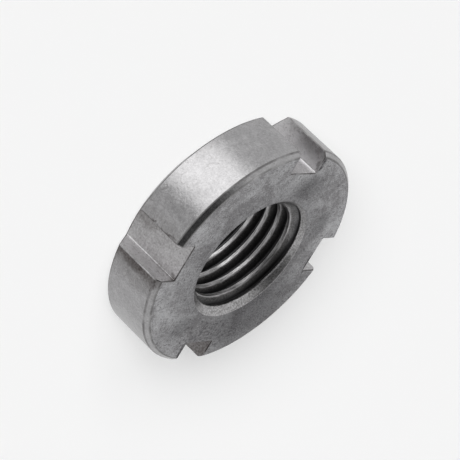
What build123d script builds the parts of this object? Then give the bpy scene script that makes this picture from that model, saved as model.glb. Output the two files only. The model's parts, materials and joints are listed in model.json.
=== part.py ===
"""A slotted round nut for a hook spanner: a turned steel ring with four milled slots and a threaded bore.

The nut lies on its back face, the smaller one, which a long cone joins to the rim. The origin is the centre of that
face, +Z runs along the thread towards the front face, and the four slots are on the X and Y axes. The bore is a plain
hole at the crests of the fine right-hand thread, as it is before the tap cuts the grooves. Every size is in
millimetres.
"""

from build123d import *
import os
from math import radians, tan

# Driving dimensions of the turned blank
outer_diameter = 27.0
thickness = 8.0
front_chamfer = 0.5
back_face_diameter = 20.4
back_cone_angle = 30.0

# Driving dimensions of the milled slots
slot_count = 4
slot_width = 4.25
slot_depth = 2.65
slot_corner_radius = 0.35

# Driving dimensions of the thread, with the basic profile of the metric thread
thread_diameter = 14.0
thread_pitch = 1.5
thread_angle = 60.0
countersink_diameter = 14.7
countersink_angle = 90.0

# Sizes that follow from these
rim_radius = outer_diameter / 2
back_face_radius = back_face_diameter / 2
back_cone_height = (rim_radius - back_face_radius) * tan(radians(back_cone_angle))
flank_height = thread_pitch / 2 / tan(radians(thread_angle / 2))
thread_depth = 5 / 8 * flank_height
bore_radius = thread_diameter / 2 - thread_depth
countersink_radius = countersink_diameter / 2
countersink_depth = (countersink_radius - bore_radius) / tan(radians(countersink_angle / 2))


def blank():
    """The turned ring: a small chamfer at the front, a flat cone at the back, and a countersink on both faces."""
    section = Polyline(
        (countersink_radius, 0),
        (back_face_radius, 0),
        (rim_radius, back_cone_height),
        (rim_radius, thickness - front_chamfer),
        (rim_radius - front_chamfer, thickness),
        (countersink_radius, thickness),
        (bore_radius, thickness - countersink_depth),
        (bore_radius, countersink_depth),
        close=True,
    )
    return revolve(Plane.XZ * make_face(section), Axis.Z)


def slot_cutter():
    """One milled slot, open to the rim and to both faces, with the cutter's small radius in its floor corners."""
    floor = rim_radius - slot_depth
    block = Pos(floor + rim_radius / 2, 0, thickness / 2) * Box(rim_radius, slot_width, 2 * thickness)
    corners = block.edges().filter_by(Axis.Z).group_by(Axis.X)[0]
    return fillet(corners, slot_corner_radius)


nut = blank() - PolarLocations(0, slot_count) * slot_cutter()

os.makedirs("parts", exist_ok=True)
export_step(nut, "parts/slotted_nut.step")
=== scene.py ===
"""A slotted round nut of bare turned steel on pale paper, in a tent of soft light with brighter and darker panels."""

import json
from math import atan2, cos, hypot, pi, radians, sin, tan

import bmesh
import bpy
import numpy as np
from mathutils import Matrix, Vector


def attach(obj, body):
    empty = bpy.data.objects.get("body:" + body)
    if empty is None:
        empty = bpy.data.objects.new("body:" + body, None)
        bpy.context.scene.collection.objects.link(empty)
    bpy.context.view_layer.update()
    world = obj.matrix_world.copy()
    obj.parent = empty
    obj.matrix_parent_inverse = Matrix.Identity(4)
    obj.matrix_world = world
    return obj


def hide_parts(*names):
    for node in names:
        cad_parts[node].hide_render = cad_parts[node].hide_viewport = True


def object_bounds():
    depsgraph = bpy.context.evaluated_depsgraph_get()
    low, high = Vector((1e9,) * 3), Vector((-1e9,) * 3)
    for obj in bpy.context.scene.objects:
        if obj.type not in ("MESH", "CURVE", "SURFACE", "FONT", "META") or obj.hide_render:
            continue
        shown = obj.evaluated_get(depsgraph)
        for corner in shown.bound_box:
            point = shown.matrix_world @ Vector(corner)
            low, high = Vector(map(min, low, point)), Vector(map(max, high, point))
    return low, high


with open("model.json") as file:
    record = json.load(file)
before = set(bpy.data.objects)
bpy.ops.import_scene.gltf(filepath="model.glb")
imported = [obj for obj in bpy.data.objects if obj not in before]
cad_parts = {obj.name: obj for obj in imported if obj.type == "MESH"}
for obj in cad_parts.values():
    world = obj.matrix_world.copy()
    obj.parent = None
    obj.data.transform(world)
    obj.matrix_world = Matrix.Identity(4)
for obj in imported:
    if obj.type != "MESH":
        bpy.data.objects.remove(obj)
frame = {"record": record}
cad_low, cad_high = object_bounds()

MM = 0.001

# The turned blank, in metres: its height, its rim and the thread's crests come from the frame
BACK, FRONT = cad_low.z, cad_high.z
SLOT_HALF_WIDTH = 2.125 * MM
RIM_RADIUS = hypot(cad_high.x, SLOT_HALF_WIDTH)
FRONT_CHAMFER = 0.5 * MM
FACE_RADIUS = RIM_RADIUS - FRONT_CHAMFER
BACK_FACE_RADIUS = 10.2 * MM
BACK_CONE_SLOPE = tan(radians(30))

# The milled slots, the round on every outer edge, and the narrow strip beside a round that keeps the flats flat
SLOT_FLOOR = RIM_RADIUS - 2.65 * MM
SLOT_CORNER_RADIUS = 0.15 * MM
EDGE_ROUND = 0.10 * MM
HOLD = 0.04 * MM
QUARTERS = 4

# The thread and its countersinks: a countersink's cone takes over from the thread over the blend, where the
# darkening for oil and painted shade fades too, and a root's middle starts from the back face at the last angle
CREST_RADIUS = frame["record"]["mounts"][0]["dims"]["r_mm"] * MM
ROOT_RADIUS = 7.0 * MM
PITCH = 1.5 * MM
FLANK_SLOPE = tan(radians(30))
ROOT_FLAT = PITCH / 8
SINK_RADIUS = 7.35 * MM
SINK_LIP = 0.04 * MM
SINK_BLEND = 0.04 * MM
GROOVE_DARKENING_FADE = 0.1 * MM
THREAD_START = radians(75.5)

# How finely the surfaces are divided, the radius of a ring on the back face, how close two points have to lie to be
# merged, and how near a circle a point has to lie to count as on it
FLOOR_STEPS, CORNER_STEPS, WALL_STEPS, ROUND_STEPS, LAND_STEPS, SIDE_STEPS = 9, 7, 11, 4, 58, 14
CREST_STEPS, FLANK_STEPS, ROOT_STEPS = 4, 6, 3
FACE_RULES, CONE_RULES = 6, 8
BACK_FACE_RING = 8.8 * MM
MERGE_DISTANCE = 0.0004 * MM
ON_CIRCLE = 0.001 * MM

# The order of the nut's finishes
RIM, SLOT, FACE, THREAD = range(4)

# The sizes of the patterns in the steel, in millimetres: in the bare steel, in its stains, painted shade and edges,
# and in the bore
CLOUD, BLOTCH, GRAIN, RING, SCRATCH_BEND, PIT = 4.5, 0.8, 0.2, 0.35, 2.4, 0.33
SPOT_BORDER, SPOT_WANDER, EDGE_STRETCH = 1.6, 1.8, 1.8
TOOL_LINE, OIL_BLOTCH, ROUGH_GRAIN = 0.12, 0.8, 0.17

# How deep pits and tool lines are, how far noise is lifted where pits crowd, and the radii over which the bore's
# tool lines give way to grain
PIT_DEPTH, TOOL_LINE_DEPTH = 0.02 * MM, 0.010 * MM
PITTED_LIFT = 0.12
GRAIN_STARTS, GRAIN_SHOWS = 6.25 * MM, 6.5 * MM

# The colours of an outer edge where it is dirty and rubbed, and how much of them shows; and of the bore: its bare metal
# in the tool's lines and between them, a thin film of oil with painted shade in both places, oil with painted shade
# deep in a groove, and oil that has pooled, whose colour also paints a dark reflection
EDGE_DIRTY, EDGE_RUBBED, EDGE_SHARE = "#3e3a39", "#cfcecf", 0.85
BORE_LINE, BORE_LIGHT = "#7f7d7d", "#e8e7e8"
FILM_AND_SHADE_LINE, FILM_AND_SHADE_LIGHT, DEEP_OIL_AND_SHADE, OIL_POOL_AND_DARK_REFLECTION = "#3a3939", "#868484", "#535354", "#222121"

# The photograph's view, in degrees: the front face's centre lies on this pixel, at this scale
PHOTO_SIDE_PX = 460
FACE_CENTRE_PX = (250.67, 259.33)
RIM_RADIUS_PX = 134.38
VIEW_AZIMUTH, VIEW_ELEVATION, VIEW_ROLL = 153.63, 26.2, 134.07
VIEW_DISTANCE = 22.33 * RIM_RADIUS
SENSOR_MM = 36.0


def arc(centre, radius, angles):
    """Points on a circle at these angles: centre plus radius times cosine and sine."""
    return np.stack([centre[0] + radius * np.cos(angles), centre[1] + radius * np.sin(angles)], 1)


def held(length, steps):
    """Shares from 0 to 1 in even steps, but for a narrow holding strip at each end, at most 0.3 of the length."""
    strip = min(HOLD / length, 0.3)
    return np.concatenate([[0], np.linspace(strip, 1 - strip, steps - 2), [1]])


def line(start, end, steps):
    """Points on a straight line between two points, with a holding strip at each end."""
    start, end = np.array(start), np.array(end)
    share = held(np.linalg.norm(end - start), steps)[:, None]
    return start * (1 - share) + end * share


def ramp(over):
    """Nothing below zero and the value itself above it, joined by the parabola that runs smoothly into both."""
    return np.where(np.abs(over) < EDGE_ROUND, (over + EDGE_ROUND) ** 2 / (4 * EDGE_ROUND), np.maximum(over, 0))


def band_radii(reach):
    """Radii across the front chamfer, close together over the soft edge at the face, and none beyond reach."""
    soft = FACE_RADIUS + EDGE_ROUND * np.array([0.0, 0.6, 1.0, 1.4, 2.0])
    rest = [soft[-1] + HOLD, (FACE_RADIUS + RIM_RADIUS) / 2, RIM_RADIUS - HOLD, RIM_RADIUS]
    return np.minimum(np.concatenate([soft, rest]), reach)


def wall_ends(inside, reach=RIM_RADIUS):
    """How far along the slot its wall meets the band's radii, by Pythagoras, less the round at the slot's mouth."""
    deep = max(inside, EDGE_ROUND)
    return np.sqrt((band_radii(reach) - deep) ** 2 - (SLOT_HALF_WIDTH + deep) ** 2)


def half_slot(inside, reach):
    """Half a slot from the middle of its floor: the floor, the corner, the wall, the band, and the round at the rim.

    The round's circle keeps its centre on every outline and loses as much radius as the outline lies inside the steel.
    """
    half, deep = SLOT_HALF_WIDTH + inside, max(inside, EDGE_ROUND)
    centre = (SLOT_FLOOR + SLOT_CORNER_RADIUS, SLOT_HALF_WIDTH - SLOT_CORNER_RADIUS)
    ends = wall_ends(inside, reach)
    mouth = (ends[-1], SLOT_HALF_WIDTH + deep)
    floor = line((SLOT_FLOOR - inside, 0), (SLOT_FLOOR - inside, centre[1]), FLOOR_STEPS)
    corner = arc(centre, SLOT_CORNER_RADIUS + inside, np.linspace(pi, pi / 2, CORNER_STEPS))
    wall = line((centre[0], half), (ends[0], half), WALL_STEPS)
    band = np.stack([ends, np.full(len(ends), half)], 1)
    turn = arc(mouth, deep - inside, np.linspace(-pi / 2, atan2(mouth[1], mouth[0]), ROUND_STEPS))
    return [floor, corner[1:], wall[1:], band[1:], turn[1:]]


def land_arc(radius, mouth):
    """A land's arc at this radius, from one slot's mouth, where it starts at this angle, to the next one's."""
    span = pi / 2 - 2 * mouth
    return arc((0, 0), radius, mouth + held(radius * span, LAND_STEPS) * span)


def outline(inside=0.0, reach=RIM_RADIUS):
    """The nut's closed outline, seen along its axis, drawn this far inside the steel and no further out than reach.

    Half a slot, a land's arc and the half slot reflected in the diagonal make a quarter, which is turned four times.
    """
    slot = np.concatenate(half_slot(inside, reach))
    mouth = atan2(SLOT_HALF_WIDTH + max(inside, EDGE_ROUND), wall_ends(inside, reach)[-1])
    land = land_arc(reach - inside, mouth)[1:-1]
    quarter = np.concatenate([slot, land, slot[::-1, ::-1][:-1]])
    angle = np.arange(QUARTERS)[:, None] * 2 * pi / QUARTERS
    x, y = quarter.T
    whole = np.stack([(np.cos(angle) * x - np.sin(angle) * y).ravel(),
                      (np.sin(angle) * x + np.cos(angle) * y).ravel()], 1)
    return np.concatenate([whole, whole[:1]])


# The outline's columns: which lie in a slot, which on the round at its mouth, and at what angle each meets the bore
SLOT_PARTS = [len(part) for part in half_slot(0.0, RIM_RADIUS)]
IN_SLOT = np.repeat([True, False, True], [sum(SLOT_PARTS[:4]), 2 * SLOT_PARTS[4] + LAND_STEPS - 2,
                                          sum(SLOT_PARTS[:4]) - 1])
AT_MOUTH = np.repeat([False, True, False, True, False], [sum(SLOT_PARTS[:4]), SLOT_PARTS[4], LAND_STEPS - 2,
                                                         SLOT_PARTS[4], sum(SLOT_PARTS[:4]) - 1])
IN_SLOT, AT_MOUTH = np.tile(IN_SLOT, QUARTERS), np.tile(AT_MOUTH, QUARTERS)


def column_angles():
    """Each column's angle on the round curves: even over a floor, a wall and a land, so that no rule meets a wall."""
    marks = np.cumsum([SLOT_PARTS[0] - 1, SLOT_PARTS[1] + SLOT_PARTS[2], SLOT_PARTS[3] + SLOT_PARTS[4], LAND_STEPS - 1])
    quarter = 2 * marks[2] + LAND_STEPS - 1
    places = np.concatenate([[0], marks, quarter - marks[1::-1], [quarter]])
    angles = np.radians([0, 9, 22, 27, 63, 68, 81, 90])
    one = np.interp(np.arange(quarter), places, angles)
    return np.append((np.arange(QUARTERS)[:, None] * pi / 2 + one).ravel(), 2 * pi)


def circle(radius):
    """A closed circle with as many points as the outline."""
    return arc((0, 0), radius, column_angles())


def front_height(flat):
    """The front's height over a flat point: the face, and past its edge the chamfer, which falls one for one."""
    return FRONT - ramp(np.hypot(flat[..., 0], flat[..., 1]) - FACE_RADIUS)


def back_height(flat):
    """The back's height over a flat point: the face, and past its edge the cone's straight slope."""
    return BACK + ramp(np.hypot(flat[..., 0], flat[..., 1]) - BACK_FACE_RADIUS) * BACK_CONE_SLOPE


def lift(flat, height):
    """Flat points with their heights."""
    return np.concatenate([flat, height[..., None]], -1)


def between(first, last, shares):
    """Rows ruled between two curves, at these shares of the way."""
    share = np.asarray(shares)[:, None, None]
    return first[None] * (1 - share) + last[None] * share


def patch(grid, finish, wear=0.0, oil_and_shade=0.0):
    """A grid of points with its faces' finish, its points' edge wear, and the thread's darkening for oil and painted
    shade.
    """
    rows, columns = grid.shape[:2]
    return {"grid": grid, "finish": np.broadcast_to(finish, (rows - 1, columns - 1)),
            "wear": np.broadcast_to(wear, (rows, columns)), "oil_and_shade": np.broadcast_to(oil_and_shade, (rows, columns))}


def front_face():
    """The flat front face: rings round the countersink's lip, then ruled to its outline, with a strip along it."""
    lip = np.stack([circle(SINK_RADIUS + SINK_LIP), circle(SINK_RADIUS + SINK_LIP + HOLD)])
    rules = between(lip[1], outline(EDGE_ROUND + HOLD, FACE_RADIUS), np.linspace(0, 1, FACE_RULES))[1:]
    flat = np.concatenate([lip, rules, outline(EDGE_ROUND, FACE_RADIUS)[None]])
    return patch(lift(flat, front_height(flat)), FACE)


def back_face():
    """The flat back face, and the soft edge where the cone leaves it: rings of growing radius on the back's height."""
    near = BACK_FACE_RADIUS + np.append(-HOLD - EDGE_ROUND, EDGE_ROUND * np.array([-1.0, -0.5, 0.0, 0.5, 1.0]))
    radii = np.concatenate([[SINK_RADIUS + SINK_LIP, SINK_RADIUS + SINK_LIP + HOLD, BACK_FACE_RING], near])
    flat = np.stack([circle(radius) for radius in radii])
    return patch(lift(flat, back_height(flat)), FACE)


def back_cone():
    """The cone behind the rim, ruled from the back face's soft edge to the outline and set on the back's height."""
    inner = np.stack([circle(BACK_FACE_RADIUS + EDGE_ROUND), circle(BACK_FACE_RADIUS + EDGE_ROUND + HOLD)])
    rules = between(inner[1], outline(EDGE_ROUND + HOLD), np.linspace(0, 1, CONE_RULES))[1:]
    flat = np.concatenate([inner, rules, outline(EDGE_ROUND)[None]])
    return patch(lift(flat, back_height(flat)), RIM)


def edge_round(height, side):
    """The round on an outer edge: the outline moves out as the sine, and leaves the height as one less the cosine."""
    angle = np.linspace(0, pi / 2, ROUND_STEPS)
    flat = np.stack([outline(EDGE_ROUND * (1 - sin(a))) for a in angle])
    drop = side * EDGE_ROUND * (1 - np.cos(angle))[:, None]
    return lift(flat, height(flat) + drop)


def sides():
    """The rim and the slots' floors and walls, with the rounds on their front and back edges.

    The wear is full on a slot's rounds and 0.7 of that on the rim's, and 0.65 all along a slot's mouth.
    """
    top, bottom = edge_round(front_height, -1), edge_round(back_height, 1)[::-1]
    rows = between(top[-1], bottom[0], held(FRONT - BACK, SIDE_STEPS))
    grid = np.concatenate([top[:-1], rows, bottom[1:]])
    soft = np.array([0.4] + [1.0] * (ROUND_STEPS - 2) + [0.7])
    along = np.concatenate([soft, np.zeros(SIDE_STEPS - 2), soft[::-1]])
    across, mouth = (np.append(share, share[0]) for share in (np.where(IN_SLOT, 1.0, 0.7), 0.65 * AT_MOUTH))
    wear = np.maximum(along[:, None] * across, mouth)
    return patch(grid, np.where(IN_SLOT | AT_MOUTH, SLOT, RIM), wear)


def front_chamfer(quarter):
    """One land's front chamfer: the land's arc at each radius across the band, set on the front's height.

    Its edges are worn, most of all the one at the face.
    """
    turn = quarter * 2 * pi / QUARTERS
    radii, ends = band_radii(RIM_RADIUS) - EDGE_ROUND, wall_ends(EDGE_ROUND)
    arcs = np.stack([land_arc(r, atan2(SLOT_HALF_WIDTH + EDGE_ROUND, end)) for r, end in zip(radii, ends)])
    flat = arcs @ np.array([[cos(turn), sin(turn)], [-sin(turn), cos(turn)]])
    wear = np.array([0.3, 0.6, 0.7, 0.6, 0.3] + [0.0] * (len(radii) - 6) + [0.4])[:, None]
    return patch(lift(flat, front_height(flat)), RIM, wear)


def thread_profile():
    """One pitch of the basic thread profile, from one crest's middle to the next: height along the axis and radius.

    The crest is flat for a quarter of the pitch and the root for an eighth, and the flanks between them are straight.
    """
    half_root = ROOT_FLAT / 2
    half_mouth = half_root + (ROOT_RADIUS - CREST_RADIUS) * FLANK_SLOPE
    crest = line((-PITCH / 2, CREST_RADIUS), (-half_mouth, CREST_RADIUS), CREST_STEPS)
    flank = line((-half_mouth, CREST_RADIUS), (-half_root, ROOT_RADIUS), FLANK_STEPS)
    root = line((-half_root, ROOT_RADIUS), (0, ROOT_RADIUS), ROOT_STEPS)
    half = np.concatenate([crest, flank[1:], root[1:]])
    return np.concatenate([half, (half * (-1, 1))[::-1][1:-1]])


def bore():
    """The threaded bore as radius over angle and height.

    The profile climbs one pitch a turn. A countersink's cone takes over, with a small blend, wherever it lies further
    out, and what would stand past a lip is pressed onto it, where it closes up with the lip's circle. How deep a point
    lies in the groove is how much it is darkened, as oil and as painted shade.
    """
    angle = column_angles()
    profile = thread_profile()
    turns = np.arange(-2, int(FRONT / PITCH) + 2)
    rise = (turns[:, None] * PITCH + profile[None, :, 0]).ravel()
    radius = np.tile(profile[:, 1], len(turns))[:, None]
    z = np.clip(rise[:, None] + (angle - THREAD_START) * PITCH / (2 * pi), BACK + SINK_LIP, FRONT - SINK_LIP)
    cone = SINK_RADIUS + SINK_LIP - np.minimum(z - BACK, FRONT - z)
    r = np.minimum((radius + cone + np.hypot(radius - cone, SINK_BLEND)) / 2, SINK_RADIUS)
    r = np.where((z <= BACK + SINK_LIP) | (z >= FRONT - SINK_LIP), SINK_RADIUS, r)
    depth = (radius - CREST_RADIUS) / (ROOT_RADIUS - CREST_RADIUS)
    oil_and_shade = depth * np.clip((radius - cone) / GROOVE_DARKENING_FADE, 0, 1)
    return patch(np.stack([r * np.cos(angle), r * np.sin(angle), z], 2), THREAD, oil_and_shade=oil_and_shade)


def sink_lip(height, side):
    """The narrow break between a face and its countersink: two circles, a lip's width apart in radius and height."""
    inner, outer = circle(SINK_RADIUS), circle(SINK_RADIUS + SINK_LIP)
    return patch(np.stack([lift(inner, np.full(len(inner), height + side * SINK_LIP)),
                           lift(outer, np.full(len(outer), height))]), THREAD)


def weld(name, patches):
    """One closed mesh from the patches, with their shared borders merged, and their wear and the thread's darkening for
    oil and painted shade as attributes.
    """
    faces, start = [], 0
    for each in patches:
        rows, columns = each["grid"].shape[:2]
        index = start + np.arange(rows * columns).reshape(rows, columns)
        faces.append(np.stack([index[:-1, :-1], index[1:, :-1], index[1:, 1:], index[:-1, 1:]], 2).reshape(-1, 4))
        start += rows * columns
    points = np.concatenate([each["grid"].reshape(-1, 3) for each in patches])
    mesh = bpy.data.meshes.new(name)
    mesh.from_pydata(points.tolist(), [], np.concatenate(faces).tolist())
    finishes = np.concatenate([each["finish"].ravel() for each in patches]).astype(np.int32)
    mesh.polygons.foreach_set("material_index", finishes)
    for kind in ("wear", "oil_and_shade"):
        values = np.concatenate([each[kind].ravel() for each in patches]).astype(np.float32)
        mesh.attributes.new(kind, "FLOAT", "POINT").data.foreach_set("value", values)
    work = bmesh.new()
    work.from_mesh(mesh)
    bmesh.ops.remove_doubles(work, verts=work.verts, dist=MERGE_DISTANCE)
    bmesh.ops.recalc_face_normals(work, faces=work.faces)
    work.to_mesh(mesh)
    work.free()
    return mesh


def read(items, name, size, kind):
    """One property of every item of a mesh, as an array with this many columns."""
    values = np.empty(len(items) * size, kind)
    items.foreach_get(name, values)
    return values.reshape(-1, size)


def smooth_but_sinks(mesh):
    """Shades the mesh smooth, and keeps the countersinks' rims sharp: the edges whose two ends lie on those circles."""
    mesh.shade_smooth()
    place = read(mesh.vertices, "co", 3, np.float32)
    level = np.minimum(np.abs(place[:, 2] - BACK - SINK_LIP), np.abs(place[:, 2] - FRONT + SINK_LIP))
    off = np.abs(np.hypot(place[:, 0], place[:, 1]) - SINK_RADIUS)
    on_rim = (level < ON_CIRCLE) & (off < ON_CIRCLE)
    sharp = on_rim[read(mesh.edges, "vertices", 2, np.int32)].all(1)
    mesh.attributes.new("sharp_edge", "BOOLEAN", "EDGE").data.foreach_set("value", sharp)


def linear(colour):
    """An sRGB hex colour as linear red, green, blue and alpha."""
    channels = [int(colour[i:i + 2], 16) / 255 for i in (1, 3, 5)]
    return [c / 12.92 if c <= 0.04045 else ((c + 0.055) / 1.055) ** 2.4 for c in channels] + [1.0]


def add(tree, kind, settings=None, inputs=None):
    """Adds a shader node, sets its properties, and sets or links its inputs, named or numbered."""
    node = tree.nodes.new("ShaderNode" + kind)
    for key, value in (settings or {}).items():
        setattr(node, key, value)
    for key, value in (inputs or {}).items():
        if isinstance(value, bpy.types.NodeSocket):
            tree.links.new(value, node.inputs[key])
        else:
            node.inputs[key].default_value = value
    return node


def per_mm(size):
    """A noise texture's scale for features of this size in millimetres, as Object coordinates are in metres."""
    return 1000.0 / size


def new_material(name):
    """An empty node material and its tree."""
    material = bpy.data.materials.new(name)
    material.use_nodes = True
    material.node_tree.nodes.clear()
    return material, material.node_tree


def spot_mask(tree, place, spots):
    """The strongest of some soft spots: stained, rubbed and pitted places, and places of painted shade, painted light
    and a painted dark reflection.

    Each is its share times a smooth step down over the stretched distance from its middle: full within the inner
    part of its half lengths, and gone at the whole of them.
    """
    mask = 0.0
    for middle, halves, inner, share in spots:
        stretched = add(tree, "VectorMath", {"operation": "MULTIPLY_ADD"}, {
            0: place, 1: [1 / (h * MM) for h in halves], 2: [-m / h for m, h in zip(middle, halves)]})
        away = add(tree, "VectorMath", {"operation": "LENGTH"}, {0: stretched.outputs[0]})
        spot = add(tree, "MapRange", {"interpolation_type": "SMOOTHSTEP"}, {
            "Value": away.outputs["Value"], "From Min": inner, "From Max": 1.0, "To Min": share, "To Max": 0.0})
        mask = add(tree, "Math", {"operation": "MAXIMUM"}, {0: mask, 1: spot.outputs["Result"]}).outputs[0]
    return mask


def axis_distance(tree, place):
    """How far a point lies from the nut's axis, in metres."""
    flat = add(tree, "VectorMath", {"operation": "MULTIPLY"}, {0: place, 1: (1.0, 1.0, 0.0)}).outputs[0]
    return add(tree, "VectorMath", {"operation": "LENGTH"}, {0: flat}).outputs["Value"]


def bare_steel(name, light, dark, stain_and_shade_tone, roughness, mottle, dents, marked, spots, pitted=(), lighter_places=()):
    """Low-carbon steel, cut and then tumbled and handled, with no plating.

    It gives a satin grey with clouds a few millimetres across, blotches under a millimetre, a fine grain, rings from
    the turning, hairline scratches and pits. The real grain is finer than a pixel and is drawn at 0.2 mm to show. The
    outer edges have thin dirty lines with rubbed stretches. Mottle holds the shares of clouds, blotches, grain and
    rings in the tone, dents the heights of blotches and grain in millimetres, and marked how dark the scratches and the
    pits are. Pits are few but for the pitted places. Some places are lighter: rubbed places, and towards the front of a
    slot's floor a painted light.
    """
    material, tree = new_material(name)
    place = add(tree, "TexCoord").outputs["Object"]
    rings = add(tree, "CombineXYZ", None, {"X": axis_distance(tree, place)}).outputs[0]
    # Each pattern's place, size, detail and twist
    kinds = ((place, CLOUD, 4.0, 0.8), (place, BLOTCH, 3.0, 0.3), (place, GRAIN, 2.0, 0.0), (rings, RING, 2.0, 0.0))
    noises = [add(tree, "TexNoise", None, {"Vector": where, "Scale": per_mm(size), "Detail": detail,
                                           "Roughness": 0.6, "Distortion": twist}).outputs[0]
              for where, size, detail, twist in kinds]
    blotch, grain = noises[1:3]
    # Noise is 0.5 on the whole, so the tone stays midway between dark and light whatever the shares
    # The lighter places lift the tone: rubbed places, and a painted light towards the front of a slot's floor
    level = spot_mask(tree, place, lighter_places)
    level = add(tree, "Math", {"operation": "ADD"}, {0: level, 1: 0.5 - 0.5 * sum(mottle)}).outputs[0]
    for noise, share in zip(noises, mottle):
        level = add(tree, "Math", {"operation": "MULTIPLY_ADD"}, {0: noise, 1: share, 2: level}).outputs[0]
    tone = add(tree, "Mix", {"data_type": "RGBA"}, {0: level, 6: linear(dark), 7: linear(light)}).outputs[2]
    # Handling and old oil have darkened some places, and painted shade darkens others, on the face and in a slot;
    # all have ragged borders, and lie thinner on the light grain
    wander = add(tree, "TexNoise", None, {"Vector": place, "Scale": per_mm(SPOT_BORDER), "Detail": 4.0})
    ragged = add(tree, "VectorMath", {"operation": "MULTIPLY_ADD"}, {
        0: wander.outputs["Color"], 1: [SPOT_WANDER * MM] * 3, 2: place}).outputs[0]
    centred = add(tree, "VectorMath", {"operation": "SUBTRACT"}, {0: ragged, 1: [SPOT_WANDER / 2 * MM] * 3})
    thick = add(tree, "Math", {"operation": "MULTIPLY_ADD"}, {0: grain, 1: -0.9, 2: 1.45}).outputs[0]
    dirt_and_shade = add(tree, "Math", {"operation": "MULTIPLY", "use_clamp": True}, {
        0: spot_mask(tree, centred.outputs[0], spots), 1: thick}).outputs[0]
    tone = add(tree, "Mix", {"data_type": "RGBA"}, {0: dirt_and_shade, 6: tone, 7: linear(stain_and_shade_tone)}).outputs[2]
    # Hairline scratches are broken contour lines of a smooth noise, and pits are the peaks of a fine one, which is
    # lifted in the pitted places
    bends = add(tree, "TexNoise", None, {
        "Vector": place, "Scale": per_mm(SCRATCH_BEND), "Detail": 1.5, "Distortion": 1.0})
    off = add(tree, "Math", {"operation": "SUBTRACT"}, {0: bends.outputs[0], 1: 0.5}).outputs[0]
    off = add(tree, "Math", {"operation": "ABSOLUTE"}, {0: off}).outputs[0]
    hair = add(tree, "MapRange", None, {"Value": off, "From Min": 0.002, "From Max": 0.010, "To Min": 1.0,
                                        "To Max": 0.0}).outputs["Result"]
    broken = add(tree, "MapRange", None, {"Value": blotch, "From Min": 0.47, "From Max": 0.58}).outputs["Result"]
    hair = add(tree, "Math", {"operation": "MULTIPLY"}, {0: hair, 1: broken}).outputs[0]
    hair = add(tree, "Math", {"operation": "MULTIPLY"}, {0: hair, 1: marked[0]}).outputs[0]
    fine = add(tree, "TexNoise", None, {"Vector": place, "Scale": per_mm(PIT), "Detail": 2.0}).outputs[0]
    crowded = spot_mask(tree, place, pitted)
    fine = add(tree, "Math", {"operation": "MULTIPLY_ADD"}, {0: crowded, 1: PITTED_LIFT, 2: fine})
    pits = add(tree, "MapRange", None, {"Value": fine.outputs[0], "From Min": 0.60, "From Max": 0.72}).outputs["Result"]
    marks = add(tree, "Math", {"operation": "MULTIPLY"}, {0: pits, 1: marked[1]}).outputs[0]
    marks = add(tree, "Math", {"operation": "MAXIMUM"}, {0: hair, 1: marks}).outputs[0]
    tone = add(tree, "Mix", {"data_type": "RGBA"}, {0: marks, 6: tone, 7: linear(stain_and_shade_tone)}).outputs[2]
    # The edges' dirty and rubbed stretches take turns every couple of millimetres
    wear = add(tree, "Attribute", {"attribute_name": "wear"}).outputs["Fac"]
    turn = add(tree, "TexNoise", None, {"Vector": place, "Scale": per_mm(EDGE_STRETCH), "Detail": 3.0}).outputs[0]
    which = add(tree, "MapRange", None, {"Value": turn, "From Min": 0.50, "From Max": 0.78}).outputs["Result"]
    edge = add(tree, "Mix", {"data_type": "RGBA"}, {0: which, 6: linear(EDGE_DIRTY), 7: linear(EDGE_RUBBED)}).outputs[2]
    share = add(tree, "Math", {"operation": "MULTIPLY"}, {0: wear, 1: EDGE_SHARE}).outputs[0]
    tone = add(tree, "Mix", {"data_type": "RGBA"}, {0: share, 6: tone, 7: edge}).outputs[2]
    bump = add(tree, "Bump", None, {"Distance": dents[0] * MM, "Height": blotch}).outputs[0]
    bump = add(tree, "Bump", None, {"Distance": dents[1] * MM, "Height": grain, "Normal": bump}).outputs[0]
    bump = add(tree, "Bump", {"invert": True}, {
        "Distance": marked[1] * PIT_DEPTH, "Height": pits, "Normal": bump}).outputs[0]
    rough = add(tree, "MapRange", None, {"Value": blotch, "From Min": 0.3, "From Max": 0.7,
                                         "To Min": roughness * 0.8, "To Max": roughness * 1.2}).outputs["Result"]
    skin = add(tree, "BsdfPrincipled", None, {"Base Color": tone, "Metallic": 1.0, "Roughness": rough, "Normal": bump})
    add(tree, "OutputMaterial", None, {"Surface": skin.outputs[0]})
    return material


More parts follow.
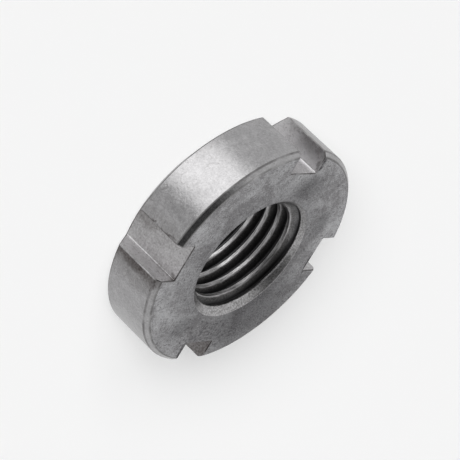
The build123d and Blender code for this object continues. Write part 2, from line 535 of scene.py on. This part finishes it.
def threaded_steel(spots, painted_light_places):
    """Low-carbon steel, tapped: the crests are rubbed bright, and the grooves and their flanks are darkened the deeper
    they lie, as black cutting oil and as painted shade.

    The tap and the countersink's cutter have drawn fine lines round the bore. The real ones are finer than a pixel and
    are drawn 0.12 mm apart to show. Oil lies in pools in the stained places, and one of them is a painted dark
    reflection on the countersink; the painted light places, a painted light on a lit flank, hold less of the darkening.
    """
    material, tree = new_material("tapped_shaded_oily_steel")
    place = add(tree, "TexCoord").outputs["Object"]
    # How deep a point lies in a groove, which darkens it as oil and as painted shade
    oil_and_shade = add(tree, "Attribute", {"attribute_name": "oil_and_shade"}).outputs["Fac"]
    # The lines are noise drawn out ten times across the axis, and the grain shows more past the crests
    drawn = add(tree, "VectorMath", {"operation": "MULTIPLY"}, {0: place, 1: (0.1, 0.1, 1.0)}).outputs[0]
    lines = add(tree, "TexNoise", None, {"Vector": drawn, "Scale": per_mm(TOOL_LINE), "Detail": 2.0}).outputs[0]
    blotch = add(tree, "TexNoise", None, {"Vector": place, "Scale": per_mm(OIL_BLOTCH), "Detail": 3.0}).outputs[0]
    grain = add(tree, "TexNoise", None, {"Vector": place, "Scale": per_mm(ROUGH_GRAIN), "Detail": 1.0}).outputs[0]
    sunk = add(tree, "MapRange", None, {
        "Value": axis_distance(tree, place), "From Min": GRAIN_STARTS, "From Max": GRAIN_SHOWS,
        "To Min": 0.15, "To Max": 0.60}).outputs["Result"]
    cut = add(tree, "Mix", {"data_type": "FLOAT"}, {0: sunk, 2: lines, 3: grain}).outputs[0]
    cut = add(tree, "MapRange", None, {"Value": cut, "From Min": 0.30, "From Max": 0.70}).outputs["Result"]
    clean = add(tree, "Mix", {"data_type": "RGBA"}, {0: cut, 6: linear(BORE_LINE), 7: linear(BORE_LIGHT)}).outputs[2]
    film_and_shade_tone = add(tree, "Mix", {"data_type": "RGBA"}, {0: cut, 6: linear(FILM_AND_SHADE_LINE), 7: linear(FILM_AND_SHADE_LIGHT)}).outputs[2]
    # How deep a point lies in the groove, made ragged by blotches and lines, gives first a film of oil and then a deep
    # one, and both are also painted shade in the groove
    ragged = add(tree, "Math", {"operation": "MULTIPLY_ADD"}, {0: blotch, 1: 0.30, 2: oil_and_shade}).outputs[0]
    ragged = add(tree, "Math", {"operation": "MULTIPLY_ADD"}, {0: lines, 1: 0.35, 2: ragged}).outputs[0]
    film_and_shade_mask = add(tree, "MapRange", {"interpolation_type": "SMOOTHSTEP"}, {
        "Value": ragged, "From Min": 0.33, "From Max": 0.55}).outputs["Result"]
    # Painted light: less darkening is laid on a lit flank near the front
    painted_light = spot_mask(tree, place, painted_light_places)
    film_and_shade_mask = add(tree, "Math", {"operation": "SUBTRACT", "use_clamp": True}, {0: film_and_shade_mask, 1: painted_light}).outputs[0]
    deep = add(tree, "MapRange", {"interpolation_type": "SMOOTHSTEP"}, {
        "Value": ragged, "From Min": 0.55, "From Max": 1.15}).outputs["Result"]
    oil = add(tree, "Mix", {"data_type": "RGBA"}, {0: deep, 6: film_and_shade_tone, 7: linear(DEEP_OIL_AND_SHADE)}).outputs[2]
    tone = add(tree, "Mix", {"data_type": "RGBA"}, {0: film_and_shade_mask, 6: clean, 7: oil}).outputs[2]
    # Pooled oil darkens it further, and one pool is a painted dark reflection on the countersink
    pools_and_reflection = spot_mask(tree, place, spots)
    tone = add(tree, "Mix", {"data_type": "RGBA"}, {0: pools_and_reflection, 6: tone, 7: linear(OIL_POOL_AND_DARK_REFLECTION)}).outputs[2]
    rough = add(tree, "MapRange", None, {"Value": film_and_shade_mask, "To Min": 0.29, "To Max": 0.45}).outputs["Result"]
    bump = add(tree, "Bump", None, {"Distance": TOOL_LINE_DEPTH, "Height": cut}).outputs[0]
    skin = add(tree, "BsdfPrincipled", None, {"Base Color": tone, "Metallic": 1.0, "Roughness": rough, "Normal": bump})
    add(tree, "OutputMaterial", None, {"Surface": skin.outputs[0]})
    return material


def direction(azimuth, elevation):
    """The unit vector towards an azimuth and an elevation, in degrees."""
    a, e = radians(azimuth), radians(elevation)
    return Vector((cos(a) * cos(e), sin(a) * cos(e), sin(e)))


# The tent's grey, and its panels: azimuth, elevation, inner and outer half angle in degrees, and strength
TENT_GREY = 0.60
TENT_PANELS = (
    (126.0, -26.0, 2.0, 32.0, 0.88),
    (165.5, -26.0, 3.0, 13.0, -0.20),
    (167.0, 62.5, 6.0, 45.0, -0.56),
    (333.6, 26.2, 8.0, 40.0, -0.17),
    (345.0, 80.0, 5.0, 35.0, 0.20),
)


def light_tent():
    """The world: a grey tent round the nut with soft round panels, each a smooth step on the angle from its middle."""
    world = bpy.data.worlds.new("light_tent")
    bpy.context.scene.world = world
    world.use_nodes = True
    tree = world.node_tree
    tree.nodes.clear()
    towards = add(tree, "TexCoord").outputs["Generated"]
    total = TENT_GREY
    for azimuth, elevation, inner, outer, strength in TENT_PANELS:
        facing = add(tree, "VectorMath", {"operation": "DOT_PRODUCT"}, {0: towards, 1: direction(azimuth, elevation)})
        step = add(tree, "MapRange", {"interpolation_type": "SMOOTHSTEP"}, {
            "Value": facing.outputs["Value"], "From Min": cos(radians(outer)), "From Max": cos(radians(inner)),
            "To Min": 0.0, "To Max": strength})
        total = add(tree, "Math", {"operation": "ADD"}, {0: total, 1: step.outputs["Result"]}).outputs[0]
    total = add(tree, "Math", {"operation": "MAXIMUM"}, {0: total, 1: 0.0}).outputs[0]
    glow = add(tree, "Background", None, {"Color": linear("#ffffff"), "Strength": total})
    add(tree, "OutputWorld", None, {"Surface": glow.outputs[0]})
    world.cycles_visibility.diffuse = False


# The paper, and the lamps that light it: name, azimuth, elevation, strength, spread in degrees, and if it casts shadows
PAPER_HALF_WIDTH = 3.0
LAMPS = (
    ("paper_lamp", 153.6, 60.0, 2.31, 60.0, False),
    ("shadow_lamp", 150.5, 20.9, 3.0, 21.7, True),
    ("side_shadow_lamp", 129.8, 21.7, 0.63, 20.6, True),
)


def lamp(name, azimuth, elevation, strength, spread, shades):
    """A distant soft lamp for the paper: it shines from this side, and the steel doesn't mirror it."""
    data = bpy.data.lights.new(name, "SUN")
    data.energy = strength
    data.angle = radians(spread)
    data.use_shadow = shades
    piece = bpy.data.objects.new(name, data)
    piece.rotation_euler = direction(azimuth, elevation).to_track_quat("Z", "Y").to_euler()
    piece.visible_glossy = False
    bpy.context.scene.collection.objects.link(piece)


def paper():
    """The pale paper under the nut, wide enough to fill every view. The steel mirrors the tent in its place."""
    half = PAPER_HALF_WIDTH
    mesh = bpy.data.meshes.new("paper")
    mesh.from_pydata([(-half, -half, 0), (half, -half, 0), (half, half, 0), (-half, half, 0)], [], [(0, 1, 2, 3)])
    piece = bpy.data.objects.new("paper", mesh)
    material, tree = new_material("matt_white_paper")
    skin = add(tree, "BsdfDiffuse", None, {"Color": linear("#f0f0f0")})
    add(tree, "OutputMaterial", None, {"Surface": skin.outputs[0]})
    mesh.materials.append(material)
    piece.visible_glossy = False
    bpy.context.scene.collection.objects.link(piece)


def camera():
    """The photograph's camera: it stands on the view's line through the front face's centre, and is then turned a
    little aside, towards the point of that face's plane square to the line that falls on the picture's middle.
    """
    data = bpy.data.cameras.new("camera")
    data.sensor_width = SENSOR_MM
    data.lens = RIM_RADIUS_PX / PHOTO_SIDE_PX * SENSOR_MM * VIEW_DISTANCE / RIM_RADIUS
    data.clip_start, data.clip_end = 0.01, 10.0
    back = direction(VIEW_AZIMUTH, VIEW_ELEVATION)
    turn = Matrix.Rotation(radians(VIEW_ROLL), 3, back) @ back.to_track_quat("Z", "Y").to_matrix()
    middle = PHOTO_SIDE_PX / 2
    aside = (middle - FACE_CENTRE_PX[0]) / RIM_RADIUS_PX * RIM_RADIUS
    up = (FACE_CENTRE_PX[1] - middle) / RIM_RADIUS_PX * RIM_RADIUS
    place = Vector((0, 0, FRONT)) + back * VIEW_DISTANCE
    away = (turn @ Vector((-aside, -up, VIEW_DISTANCE))).normalized()
    right = (turn.col[0] - away * turn.col[0].dot(away)).normalized()
    piece = bpy.data.objects.new("camera", data)
    piece.matrix_world = Matrix.Translation(place) @ Matrix((right, away.cross(right), away)).transposed().to_4x4()
    bpy.context.scene.collection.objects.link(piece)
    bpy.context.scene.camera = piece


# Places on each finish that are stained, rubbed and pitted, and places of painted shade, painted light and a painted
# dark reflection, in millimetres: the middle, the half lengths, the part of them that is full, and the share
RIM_STAINS = (((-13.3, -2.4, 4.4), (2.1, 1.9, 9.6), 0.1, 0.80), ((-13.1, -3.7, 4.5), (2.0, 1.9, 6.5), 0.1, 0.35),
              ((-13.4, 2.6, 5.0), (1.6, 1.4, 5.0), 0.1, 0.25), ((-9.0, 10.0, 1.5), (3.0, 3.0, 2.0), 0.1, 0.20),
              ((-13.3, 2.2, 4.2), (0.35, 0.35, 5.0), 0.2, 0.75), ((-13.2, -3.2, 7.5), (0.6, 1.4, 0.30), 0.3, 0.80))
# In the slots, the second stain is painted shade towards the back of a slot's floor, the dark end of a painted
# reflection along it, and the fourth is painted shade along the front of that slot's floor corner, over the corner's
# highlight; the others are stains
SLOT_STAINS_AND_SHADE = (((-10.7, 0.0, 4.0), (3.0, 3.5, 9.0), 0.5, 0.20), ((-10.8, 0.8, 1.0), (1.4, 2.2, 4.2), 0.2, 0.50),
               ((2.1, -12.6, 7.0), (3.0, 3.0, 4.0), 0.4, 0.70), ((-10.8, -2.05, 8.2), (0.4, 0.4, 4.4), 0.2, 0.80),
               ((-13.3, 2.2, 4.2), (0.35, 0.35, 5.0), 0.2, 0.75), ((2.1, 13.1, 5.6), (1.2, 1.6, 4.8), 0.1, 0.42),
               ((2.1, 12.1, 8.0), (0.4, 1.6, 0.35), 0.3, 0.50))
# The third of these lighter slot places is painted light towards the front of that slot's floor, the light end of the
# painted reflection along it; the others are rubbed
SLOT_RUBBED_AND_LIT = (((2.1, 11.6, 3.4), (1.0, 2.0, 6.5), 0.5, 0.55), ((-12.2, -2.1, 3.4), (1.8, 1.0, 7.5), 0.6, 0.25),
               ((-10.9, 0.2, 7.4), (1.4, 2.8, 3.6), 0.2, 0.25))
# On the face, the first stain is painted shade, a broad darkening round (5.2, -6.6) where the light falls off across
# the face; the second darkens the face in towards the bore; the rest are stains
FACE_STAINS_AND_SHADE = (((5.2, -6.6, 8.0), (10.0, 10.0, 10.0), 0.15, 0.74), ((0.0, 0.0, 8.0), (11.6, 11.6, 11.6), 0.60, 0.38),
               ((-4.8, 6.2, 8.0), (3.4, 2.6, 3.0), 0.1, 0.20), ((2.4, 8.9, 8.0), (4.2, 3.0, 3.0), 0.1, 0.66),
               ((8.7, 3.7, 8.0), (1.9, 3.2, 3.0), 0.2, 0.55), ((-4.8, -8.4, 8.0), (2.8, 2.8, 3.0), 0.2, 0.52),
               ((-2.3, -12.0, 8.0), (0.4, 1.7, 0.6), 0.3, 1.0), ((12.0, 2.2, 8.0), (1.9, 0.17, 0.35), 0.3, 0.9),
               ((10.75, -0.9, 8.0), (0.45, 2.6, 0.9), 0.3, 1.0), ((2.3, 12.0, 8.0), (0.4, 1.6, 0.6), 0.3, 1.0))
# In the bore, the first stain is a painted dark reflection on the countersink and the grooves next to it, in the pooled
# oil's colour; the second is pooled oil
BORE_POOLS_AND_REFLECTION = (((5.8, -2.7, 6.75), (4.4, 4.8, 0.95), 0.3, 0.62), ((4.8, 5.1, 7.9), (4.2, 4.2, 0.55), 0.4, 0.30))
# The bore's painted light places are painted light on a lit flank near the front, where less darkening is laid on
BORE_PAINTED_LIGHT = (((4.1, 4.9, 7.03), (3.2, 3.2, 0.62), 0.4, 0.26), ((5.9, 2.5, 6.93), (2.4, 2.4, 0.30), 0.3, 0.28))
FACE_PITS = (((0.2, -9.9, 8.0), (6.5, 3.0, 3.0), 0.4, 1.0),)
FACE_RUBBED = (((10.6, 4.2, 8.0), (2.6, 6.0, 3.0), 0.3, 0.45), ((-11.0, -3.4, 8.0), (2.6, 3.0, 3.0), 0.2, 0.35),
               ((-10.8, 3.6, 8.0), (2.4, 3.0, 3.0), 0.2, 0.25), ((2.9, 11.6, 8.0), (3.0, 1.6, 3.0), 0.2, 0.30))


def slotted_nut():
    """The whole nut, one closed piece of steel."""
    patches = [front_face(), back_face(), back_cone(), sides(), bore(), sink_lip(FRONT, -1), sink_lip(BACK, 1)]
    patches += [front_chamfer(quarter) for quarter in range(QUARTERS)]
    mesh = weld("turned_nut", patches)
    mesh.materials.append(bare_steel(
        "turned_rim_steel", light="#d6d5d6", dark="#a9a8a9", stain_and_shade_tone="#4a423f", roughness=0.20,
        mottle=(0.8, 1.0, 1.0, 0.0), dents=(0.012, 0.008), marked=(0.3, 0.1), spots=RIM_STAINS))
    mesh.materials.append(bare_steel(
        "milled_slot_steel", light="#e6e5e6", dark="#b9b7b8", stain_and_shade_tone="#4f4744", roughness=0.36,
        mottle=(0.9, 1.2, 1.8, 0.0), dents=(0.018, 0.012), marked=(0.3, 0.3), spots=SLOT_STAINS_AND_SHADE,
        lighter_places=SLOT_RUBBED_AND_LIT))
    mesh.materials.append(bare_steel(
        "turned_face_steel", light="#e3e3e5", dark="#a3a1a3", stain_and_shade_tone="#575558", roughness=0.32,
        mottle=(2.8, 1.4, 2.1, 0.8), dents=(0.012, 0.008), marked=(0.5, 0.6), spots=FACE_STAINS_AND_SHADE,
        pitted=FACE_PITS, lighter_places=FACE_RUBBED))
    mesh.materials.append(threaded_steel(BORE_POOLS_AND_REFLECTION, BORE_PAINTED_LIGHT))
    piece = bpy.data.objects.new("turned_nut", mesh)
    bpy.context.scene.collection.objects.link(piece)
    smooth_but_sinks(mesh)
    piece.visible_diffuse = False
    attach(piece, "root")
    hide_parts("slotted_nut")


slotted_nut()
paper()
light_tent()
for one in LAMPS:
    lamp(*one)
camera()
bpy.context.scene.view_settings.view_transform = "Standard"
